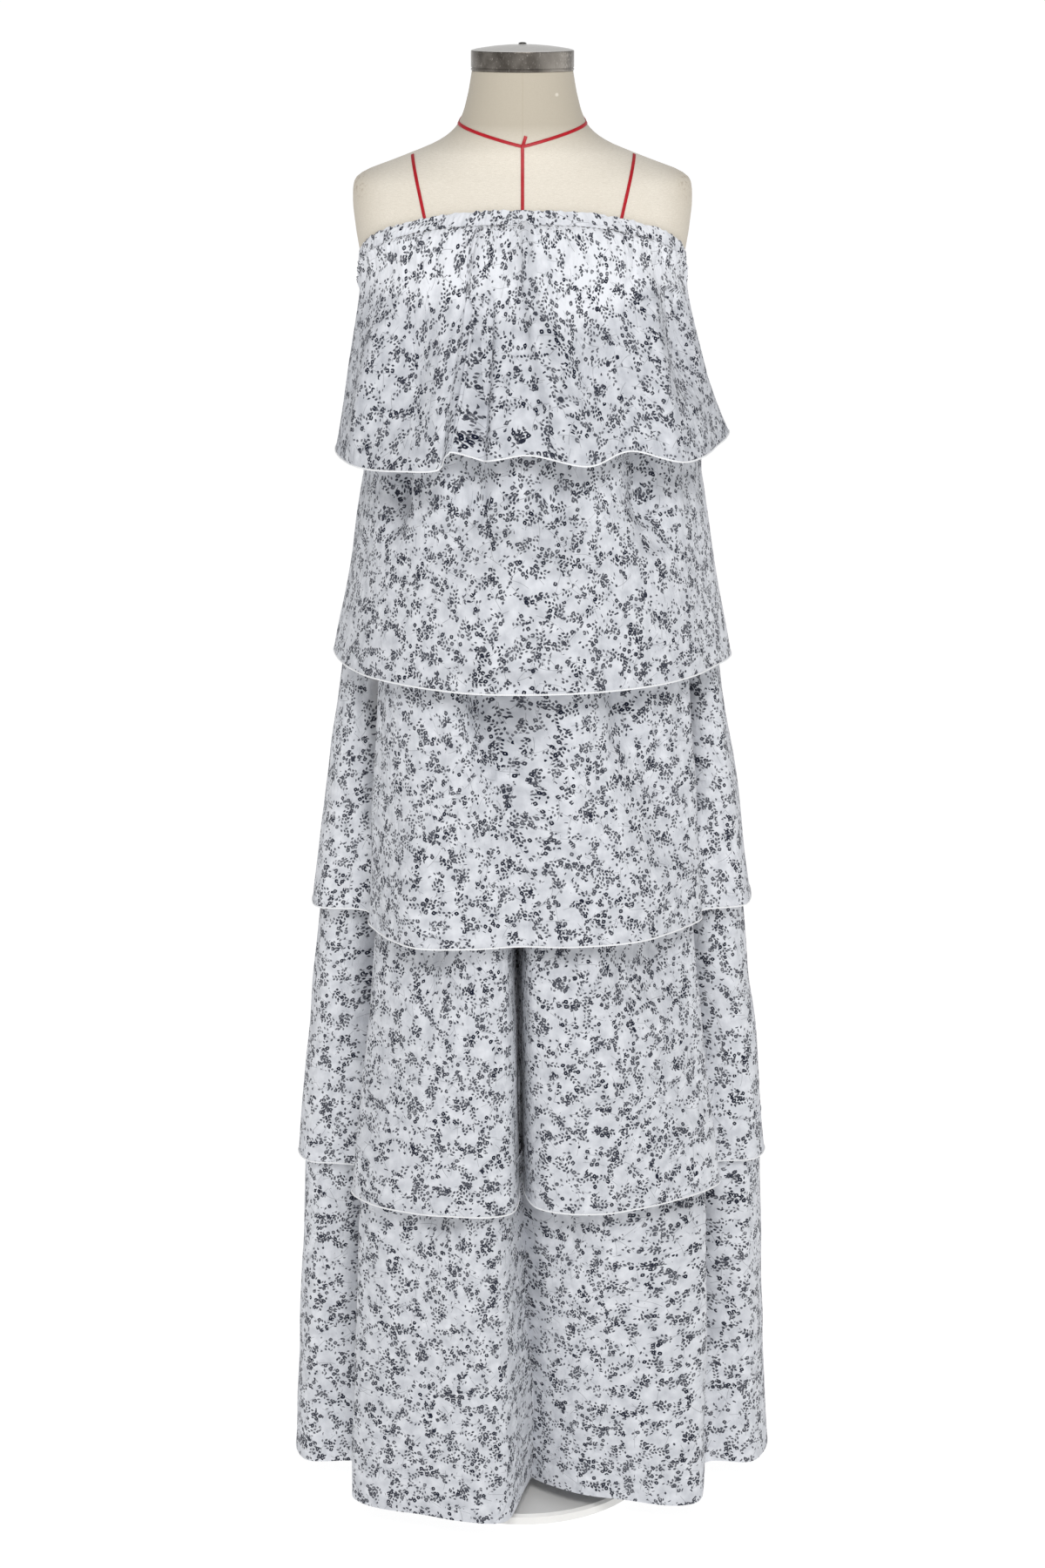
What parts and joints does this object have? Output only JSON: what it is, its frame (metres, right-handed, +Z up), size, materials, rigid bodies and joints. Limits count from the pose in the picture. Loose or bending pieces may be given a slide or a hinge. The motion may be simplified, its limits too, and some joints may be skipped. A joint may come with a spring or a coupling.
{
  "type": "tiered maxi dress on dress form",
  "caption": "Strapless maxi dress of gathered, hanging tiers in a small floral chiffon, worn by a limbless linen dress form on a round stand.",
  "frame": {"origin": "centre of the underside of the round base plate, on the surface it stands on", "axes": "+Z up through the form, the front of the dress faces -Y, +X is to the right as seen from the front"},
  "size_m": [0.558, 0.4229, 1.6371],
  "materials": {
    "printed_chiffon": "light sheer cool-white chiffon printed with small scattered sprigs in charcoal and grey, soft matt",
    "form_linen": "tightly stretched natural linen, plain weave, matt",
    "cap_steel": "brushed steel with light scratches and a brighter rim",
    "style_tape": "narrow red tape with a slight sheen",
    "stand_paint": "satin off-white paint"
  },
  "bodies": {
    "root": {"neck_casing_front": "printed_chiffon", "neck_casing_back": "printed_chiffon", "flounce_front": "printed_chiffon", "flounce_back": "printed_chiffon", "bodice_front": "printed_chiffon", "bodice_back": "printed_chiffon", "tier_2_front": "printed_chiffon", "tier_2_back": "printed_chiffon", "tier_3_front": "printed_chiffon", "tier_3_back": "printed_chiffon", "tier_4_front": "printed_chiffon", "tier_4_back": "printed_chiffon", "tier_5_front": "printed_chiffon", "tier_5_back": "printed_chiffon", "form_torso": "form_linen", "neck_cap": "cap_steel", "cap_screw": "cap_steel", "tape_neck": "style_tape", "tape_centre_front": "style_tape", "tape_princess_left": "style_tape", "tape_princess_right": "style_tape", "form_pole": "stand_paint", "base_collar": "stand_paint", "base_plate": "stand_paint"}
  },
  "joints": []
}
